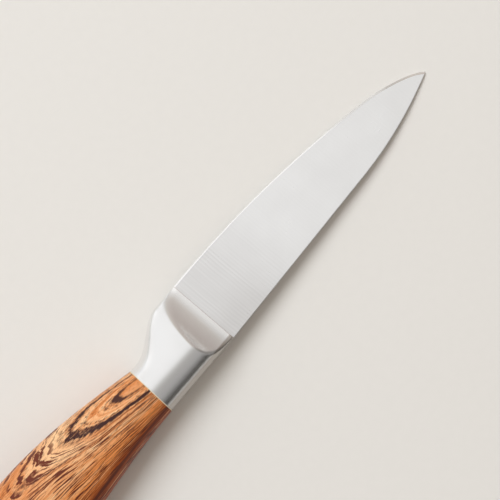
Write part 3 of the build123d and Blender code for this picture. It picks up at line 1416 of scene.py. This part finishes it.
@dataclass
class Bolster:
    """The steel bolster, round at the wood and scooped to a half moon before the blade."""

    sizes: KnifeSizes
    rest: Rest
    front_thickness: float = 11.4
    crown: float = 0.8
    neck_place: float = 2.7
    heel_place: float = 17.5
    scoop_radius: float = 10.2
    lip_height: float = 0.5
    lip_round: float = 0.2
    rim_softness: float = 1.4
    rows: int = 176
    columns: int = 321
    side_share: float = 0.94
    slot_overrun: float = 2.0
    crisp_angle: float = 50.0

    def _tree(self) -> ShapeTree:
        """Draws the bolster's sections and scoops them.

        Returns:
            The shape's tree.
        """
        sizes = self.sizes
        shape = ShapeTree(
            "Bolster shape",
            self.rest,
            self.rows,
            self.columns,
            {
                "Length": sizes.bolster_length,
                "Spacer": sizes.spacer_thickness,
                "Joint half height": sizes.joint_height / 2,
                "Joint half thickness": sizes.joint_thickness / 2,
                "Joint slant": radians(sizes.joint_slant),
                "Heel depth": sizes.heel_depth,
                "Spine height": sizes.spine_height,
                "Front half thickness": self.front_thickness / 2,
                "Crown": self.crown,
                "Neck place": self.neck_place,
                "Heel place": self.heel_place,
                "Scoop radius": self.scoop_radius,
                "Lip half": sizes.spine_thickness / 2 + self.lip_height,
                "Lip round": self.lip_round,
                "Rim softness": self.rim_softness,
            },
        )
        tree = shape.tree
        body = shape.body_share()
        lip_round = shape.size("Lip round")
        lip_place = shape.size("Length") - lip_round
        spacer = shape.size("Spacer")
        sides = self.side_share
        run = least(body / sides, 1.0)
        turn = most(body - sides, 0.0) * (pi / 2 / (1.0 - sides))
        x = spacer + run * (lip_place - spacer) + calc(tree, "SINE", turn) * lip_round
        share = (x - spacer) / (shape.size("Length") - spacer)
        neck = shape.size("Neck place")
        drop = ease(least(most((x - neck) / (shape.size("Heel place") - neck), 0.0), 1.0))
        joint = shape.size("Joint half height")
        crown = 0.0 - shape.size("Crown") * share
        around = 1.0 - abs(1.0 - 2.0 * shape.column)
        across, height = egg(
            around,
            back=blend(joint, shape.size("Spine height"), share),
            belly=blend(joint, shape.size("Heel depth"), drop),
            half=blend(
                shape.size("Joint half thickness"), shape.size("Front half thickness"), share
            ),
            crown=crown,
            wedge=drop,
        )
        radius = shape.size("Scoop radius")
        lip = shape.size("Lip half")
        reach = least(abs(x - lip_place), radius)
        scoop = lip + radius - calc(tree, "SQRT", radius * radius - reach * reach)
        rounding = lip - lip_round + calc(tree, "COSINE", turn) * lip_round
        ahead = x > lip_place + JUST_PAST
        limit = blend(scoop, rounding, ahead)
        clipped = calc(tree, "SMOOTH_MIN", height, limit, shape.size("Rim softness"))
        height = least(most(clipped, 0.0), height) * (1.0 - 2.0 * (shape.column > 0.5))
        open_row = 1.0 - shape.on_cap()
        across = blend(0.0, across, open_row)
        shape.finish(x, across, height * open_row, shape.size("Joint slant") * (1.0 - share))
        return shape

    def build(self, finish: bpy.types.Material) -> bpy.types.Object:
        """Builds the bolster and cuts the tang's slot.

        Args:
            finish: Its material.

        Returns:
            The piece.
        """
        sizes = self.sizes
        piece = self._tree().make("scooped_bolster", finish)
        clearance = sizes.slot_clearance
        half = sizes.tang_height / 2 + clearance
        low, high = -self.slot_overrun, sizes.bolster_length + self.slot_overrun
        outline = [(low, -half), (high, -half), (high, half), (low, half)]
        slot = prism(self.rest, outline, sizes.spine_thickness / 2 + clearance)
        combine(piece, slot, "DIFFERENCE")
        tidy(piece, finish, sharp=self.crisp_angle)
        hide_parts("bolster")
        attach(piece, "root")
        return piece


@dataclass
class Handle:
    """The two wooden halves with the glue between them."""

    sizes: KnifeSizes
    rest: Rest
    butt_belly: float = 11.6
    butt_back: float = 11.0
    butt_round: float = 9.0
    dome_turn: float = 0.9
    seam_thickness: float = 0.15
    rows: int = 150
    columns: int = 151
    side_share: float = 0.8
    curve_share: float = 0.8
    cap_bulge: float = 0.4
    channel_overrun: float = 2.0

    def _outline(
        self, shape: ShapeTree, x: Field, side: str, widest: str, swelling: Callable[[Field], Field]
    ) -> Field:
        """Draws one outline of the handle, from the joint over the swell to the butt.

        Args:
            shape: The shape's tree.
            x: The place behind the joint.
            side: Whether it is the belly or the back.
            widest: The size that says where it is widest.
            swelling: How it swells from the joint to there.

        Returns:
            How far the handle reaches to that side.
        """
        place = shape.size(widest)
        swell = shape.size(f"Swell {side}")
        rise = swelling(least(x / place, 1.0))
        left = most(x - place, 0.0) / (shape.size("Length") - place)
        fall = calc(shape.tree, "COSINE", left * (pi / 2))
        before = blend(shape.size("Joint half height"), swell, rise)
        return blend(before, blend(shape.size(f"Butt {side}"), swell, fall), x > place)

    def _tree(self) -> ShapeTree:
        """Draws the sections of one half from the joint to the butt.

        Returns:
            The shape's tree.
        """
        sizes = self.sizes
        shape = ShapeTree(
            "Handle half shape",
            self.rest,
            self.rows,
            self.columns,
            {
                "Side": 1.0,
                "Length": sizes.handle_length,
                "Joint half height": sizes.joint_height / 2,
                "Joint slant": radians(sizes.joint_slant),
                "Swell place": sizes.swell_place,
                "Swell belly": sizes.swell_belly,
                "Swell half": sizes.swell_thickness / 2,
                "Flank radius": sizes.flank_radius,
                "Back place": sizes.back_place,
                "Swell back": sizes.swell_back,
                "Butt belly": self.butt_belly,
                "Butt back": self.butt_back,
                "Butt round": self.butt_round,
                "Dome turn": self.dome_turn * pi / 2,
                "Seam half": self.seam_thickness / 2,
            },
        )
        tree = shape.tree
        body = shape.body_share()
        butt = shape.size("Butt round")
        length = shape.size("Length")
        sides = self.side_share
        turn = most(body - sides, 0.0) * (1 / (1.0 - sides)) * shape.size("Dome turn")
        x = least(body / sides, 1.0) * (length - butt) + calc(tree, "SINE", turn) * butt
        shrink = calc(tree, "COSINE", turn)

        def rounded(run: Field) -> Field:
            """A quarter of a sine wave."""
            return calc(tree, "SINE", run * (pi / 2))

        belly = self._outline(shape, x, "belly", "Swell place", rounded)
        back = self._outline(shape, x, "back", "Back place", ease)
        radius = shape.size("Flank radius")
        off = x - shape.size("Swell place")
        half = shape.size("Swell half") - radius + calc(tree, "SQRT", radius * radius - off * off)
        middle = (belly - back) * 0.5
        reach = (belly + back) * 0.5 * shrink
        seam = shape.size("Seam half")
        curve = self.curve_share
        curved = least(shape.column / curve, 1.0)
        across, height = egg(
            curved, back=reach - middle, belly=reach + middle, half=half * shrink, crown=middle
        )
        flat_run = most(shape.column - curve, 0.0) * (1 / (1.0 - curve))
        across = across + flat_run * reach * 2.0
        closed = shape.on_cap()
        across = blend(across, middle, closed)
        height = blend(most(height, seam), seam + half * shrink * self.cap_bulge, closed)
        height = height * shape.size("Side")
        shape.finish(0.0 - x, across, height, shape.size("Joint slant") * (1.0 - x / length))
        return shape

    def build(self, finish: bpy.types.Material) -> list[bpy.types.Object]:
        """Builds both halves, with the tang's channel and the pins' bores.

        Args:
            finish: Their material.

        Returns:
            The two pieces.
        """
        sizes = self.sizes
        tree = self._tree()
        pieces = []
        for side, node in ((Side.UPPER, "handle_left"), (Side.LOWER, "handle_right")):
            piece = tree.make(f"wood_{side.name.lower()}", finish, Side=float(side.value))
            channel = prism(
                self.rest,
                tang_outline(sizes, self.channel_overrun, sizes.tang_gap),
                sizes.spine_thickness / 2 + sizes.tang_gap,
            )
            combine(piece, channel, "DIFFERENCE")
            cut_pins(piece, sizes, self.rest)
            tidy(piece, finish)
            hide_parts(node)
            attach(piece, "root")
            pieces.append(piece)
        return pieces


@dataclass
class Fittings:
    """The spacer, the glue and the pins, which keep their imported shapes."""

    nodes: dict[str, bpy.types.Object]

    def dress(self, finishes: dict[str, bpy.types.Material]) -> list[bpy.types.Object]:
        """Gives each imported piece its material.

        Args:
            finishes: The material for each piece's name.

        Returns:
            The pieces.
        """
        pieces = []
        for name, finish in finishes.items():
            piece = self.nodes[name]
            for slot in piece.material_slots:
                slot.material = finish
            pieces.append(piece)
        return pieces


def grey(shade: float, warmth: float = 0.0) -> Colour:
    """The grey of this shade, with green and blue weaker by warmth and twice the warmth."""
    return (shade, shade - warmth, shade - 2 * warmth)


def hang_lamp(
    name: str, shape: str, colour: Colour, place: Sequence[float], sizes: Flat, power: float
) -> bpy.types.Object:
    """Hangs an area lamp that faces down and that the camera doesn't see.

    Args:
        name: The lamp's name.
        shape: The kind of its area.
        colour: Its light's colour.
        place: Its middle in metres.
        sizes: Its length and width in metres.
        power: Its power in watts.

    Returns:
        The lamp.
    """
    light = bpy.data.lights.new(name, "AREA")
    light.shape = shape
    light.size, light.size_y = sizes
    light.energy = power
    light.color = colour
    lamp = new_piece(name, light)
    lamp.location = place
    lamp.visible_camera = False
    return lamp


@dataclass
class Studio:
    """The pale table, the dim room, the soft lights and the camera straight above.

    The view's sizes are in millimetres, the table's and the lamps' in metres. The room's colours
    go by the angle that the light comes from, from 0 at -90 degrees to 1 at 90 degrees.
    """

    rest: Rest
    view_turn: float = 49.34
    view_width: float = 135.63
    view_place: Flat = (33.18, 3.265)
    view_height: float = 800.0
    focus_height: float = 4.0
    sensor_width: float = 36.0
    view_depth: float = 10.0
    table_size: float = 1.2
    table_colour: Colour = (0.80, 0.775, 0.74)
    table_roughness: float = 0.9
    mottle: Grain = Grain((0.4, 0.4, 1.0), detail=4.0)
    mottle_shades: Flat = (0.985, 0.03)
    room_light: float = 1.15
    spine_light: Stops = (
        (0.0, grey(0.85)),
        (0.06, grey(0.8)),
        (0.12, (0.56, 0.54, 0.51)),
        (0.5, (0.56, 0.54, 0.51)),
        (0.74, grey(0.5, 0.01)),
        (0.8, grey(0.36, 0.01)),
        (0.86, grey(0.16, 0.01)),
        (0.92, grey(0.05, 0.005)),
        (1.0, grey(0.04, 0.005)),
    )
    tip_light: Stops = (
        (0.0, grey(0.42, 0.02)),
        (0.33, grey(0.45, 0.02)),
        (0.44, grey(0.7)),
        (0.6, grey(0.75, 0.01)),
        (0.68, (0.93, 0.88, 0.84)),
        (0.8, (0.86, 0.79, 0.77)),
        (1.0, (0.72, 0.64, 0.61)),
    )
    spine_tip_light: Stops = (
        (0.0, grey(0.4, 0.02)),
        (0.36, grey(0.42, 0.02)),
        (0.44, grey(0.7, 0.01)),
        (0.62, grey(0.7, 0.01)),
        (0.72, grey(0.42, 0.02)),
        (1.0, grey(0.4, 0.02)),
    )
    spine_rise: Flat = (3.0, 14.0)
    low_rise: Flat = (-50.0, -68.0)
    low_colour: Colour = grey(0.85, 0.01)
    aim: tuple[float, float, float] = (0.03, 0.0, 0.0)
    window_power: float = 27.2
    window_size: float = 1.3
    window_place: tuple[float, float, float] = (0.0, 1.1, 1.54)
    window_colour: Colour = (0.91, 0.96, 1.0)
    fill_power: float = 3.7
    fill_size: float = 3.0
    fill_place: tuple[float, float, float] = (0.0, 0.0, 1.6)
    fill_colour: Colour = (1.0, 0.8, 0.6)
    sheet_height: float = 1.2
    sheet_colour: Colour = (0.96, 0.975, 1.0)
    sheets: tuple[tuple[float, float, float, float, float], ...] = (
        (-4.0, 0.42, 0.36, 8.0, 0.52),
        (-4.0, 0.42, 0.12, 0.36, 0.51),
        (-4.0, 0.42, 0.0, 0.12, 0.48),
        (-4.0, 0.42, -0.12, 0.0, 0.18),
        (-4.0, 0.42, -0.27, -0.12, 0.06),
        (0.42, 0.72, -0.12, 8.0, 0.22),
    )

    def build(self) -> None:
        """Builds the table, the room, the lamps and the camera."""
        self._table()
        self._room()
        self._window()
        self._softboxes()
        self._camera()
        bpy.context.scene.view_settings.view_transform = "Standard"

    def _table(self) -> None:
        """Builds a plain matt table top, larger than the view."""
        half = self.table_size
        corners = [(-half, -half, 0.0), (half, -half, 0.0), (half, half, 0.0), (-half, half, 0.0)]
        mesh = bpy.data.meshes.new("table")
        mesh.from_pydata(corners, [], [(0, 1, 2, 3)])
        table = new_piece("table", mesh)
        material, shader, wiring = new_material("table_top", self.rest)
        x, v, _ = wiring.split(wiring.knife_place())
        darkest, spread = self.mottle_shades
        tint = darkest + wiring.noise((x, v, 0.0), self.mottle) * spread
        colour = wiring.mix(1.0, self.table_colour, wiring.grey(tint), "MULTIPLY")
        wiring.feed(shader, {"Base Color": colour, "Roughness": self.table_roughness})
        table.data.materials.append(material)

    def _room(self) -> None:
        """Builds a dim room, darkest low down beside the spine."""
        world = bpy.data.worlds.new("room")
        world.use_nodes = True
        bpy.context.scene.world = world
        tree = world.node_tree
        wiring = Wiring(tree, self.rest)
        source = tree.nodes.new("ShaderNodeTexCoord")
        x, y, _ = wiring.split(source.outputs["Generated"])
        spine_angle, tip_angle = (
            calc(tree, "ARCSINE", part) * (180 / pi) for part in (0.0 - y, x)
        )
        by_spine = wiring.ramp(share_of(spine_angle, -90.0, 90.0), self.spine_light)
        ahead, behind = (
            wiring.ramp(share_of(tip_angle, -90.0, 90.0), stops)
            for stops in (self.tip_light, self.spine_tip_light)
        )
        by_tip = wiring.mix(ease(share_of(spine_angle, *self.spine_rise)), ahead, behind)
        low = ease(share_of(spine_angle, *self.low_rise))
        by_tip = wiring.mix(low, by_tip, self.low_colour)
        light = wiring.mix(1.0, by_spine, by_tip, "MULTIPLY")
        wiring.feed(tree.nodes["Background"], {"Color": light, "Strength": self.room_light})

    def _window(self) -> None:
        """Hangs a window beyond the edge and a warm fill above, both for wood and table."""
        for name, colour, place, size, power in (
            ("window", self.window_colour, self.window_place, self.window_size, self.window_power),
            ("fill", self.fill_colour, self.fill_place, self.fill_size, self.fill_power),
        ):
            lamp = hang_lamp(name, "DISK", colour, place, (size, size), power)
            towards = Vector(self.aim) - lamp.location
            lamp.rotation_euler = towards.to_track_quat("-Z", "Y").to_euler()
            lamp.visible_glossy = False

    def _softboxes(self) -> None:
        """Hangs white sheets, weaker at their rims, which the steel mirrors."""
        for number, (low_x, high_x, low_y, high_y, light) in enumerate(self.sheets):
            sizes = (high_x - low_x, high_y - low_y)
            place = ((low_x + high_x) / 2, (low_y + high_y) / 2, self.sheet_height)
            power = light * pi * sizes[0] * sizes[1]
            name = f"sheet_{number}"
            sheet = hang_lamp(name, "RECTANGLE", self.sheet_colour, place, sizes, power)
            sheet.visible_diffuse = False

    def _camera(self) -> None:
        """Puts a camera straight above, turned as the photograph is."""
        lens = bpy.data.cameras.new("view")
        lens.sensor_width = self.sensor_width
        lens.lens = self.sensor_width * self.view_height / self.view_width
        lens.clip_end = self.view_depth
        camera = new_piece("view", lens)
        x, y = self.view_place
        camera.location = (MM * x, MM * y, MM * (self.view_height + self.focus_height))
        camera.rotation_euler = (0.0, 0.0, -radians(self.view_turn))
        bpy.context.scene.camera = camera


def report(piece: bpy.types.Object) -> None:
    """Logs the piece's name and its number of faces."""
    log.info("%s: %d faces", piece.name, len(piece.data.polygons))


def main() -> None:
    """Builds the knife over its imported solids, then the studio."""
    logging.basicConfig(level=logging.INFO, format="%(name)s: %(message)s")
    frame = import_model()
    sizes = KnifeSizes()
    rest = Rest.of(sizes)
    effects = SharedEffects(rest)

    blade_steel = GroundSteel(
        name="blade_steel",
        colour=(0.97, 0.98, 0.99),
        near_shade=(0.775, 0.77, 0.77),
        roughness=0.28,
        spacing=0.95,
        contrast=0.17,
        fade_start=32.0,
        fade_end=58.0,
        relief=0.002,
        bevel_polish_and_highlight=1.0,
    ).build(effects)
    bolster_steel = GroundSteel(
        name="bolster_steel",
        colour=(1.0, 1.0, 1.0),
        near_shade=(0.87, 0.88, 0.895),
        roughness=0.25,
        spacing=0.22,
        contrast=0.04,
        fade_start=23.4,
        fade_end=25.3,
        relief=0.0004,
        back_painted_shade=1.0,
    ).build(effects)
    pin_steel = GroundSteel(
        name="pin_steel",
        colour=(0.6, 0.6, 0.6),
        near_shade=(0.56, 0.55, 0.54),
        roughness=0.4,
        spacing=0.4,
        contrast=0.1,
        fade_start=-60.0,
        fade_end=0.0,
        relief=0.002,
    ).build(effects)
    wood = LoopedWood("handle_wood", sizes).build(effects)
    cream = CastResin("spacer_resin", (0.72, 0.66, 0.5), (0.66, 0.6, 0.44), 0.5).build(effects)
    glue = CastResin("cured_glue", (0.52, 0.30, 0.14), (0.44, 0.24, 0.1), 0.4).build(effects)

    report(Blade(sizes, rest).build(blade_steel))
    report(Bolster(sizes, rest).build(bolster_steel))
    for piece in Handle(sizes, rest).build(wood):
        report(piece)
    fittings = {
        "joint_spacer": cream,
        "handle_glue": glue,
        "front_tang_pin": pin_steel,
        "rear_tang_pin": pin_steel,
    }
    for piece in Fittings(frame["nodes"]).dress(fittings):
        report(piece)
    Studio(rest).build()


if __name__ == "__main__":
    main()
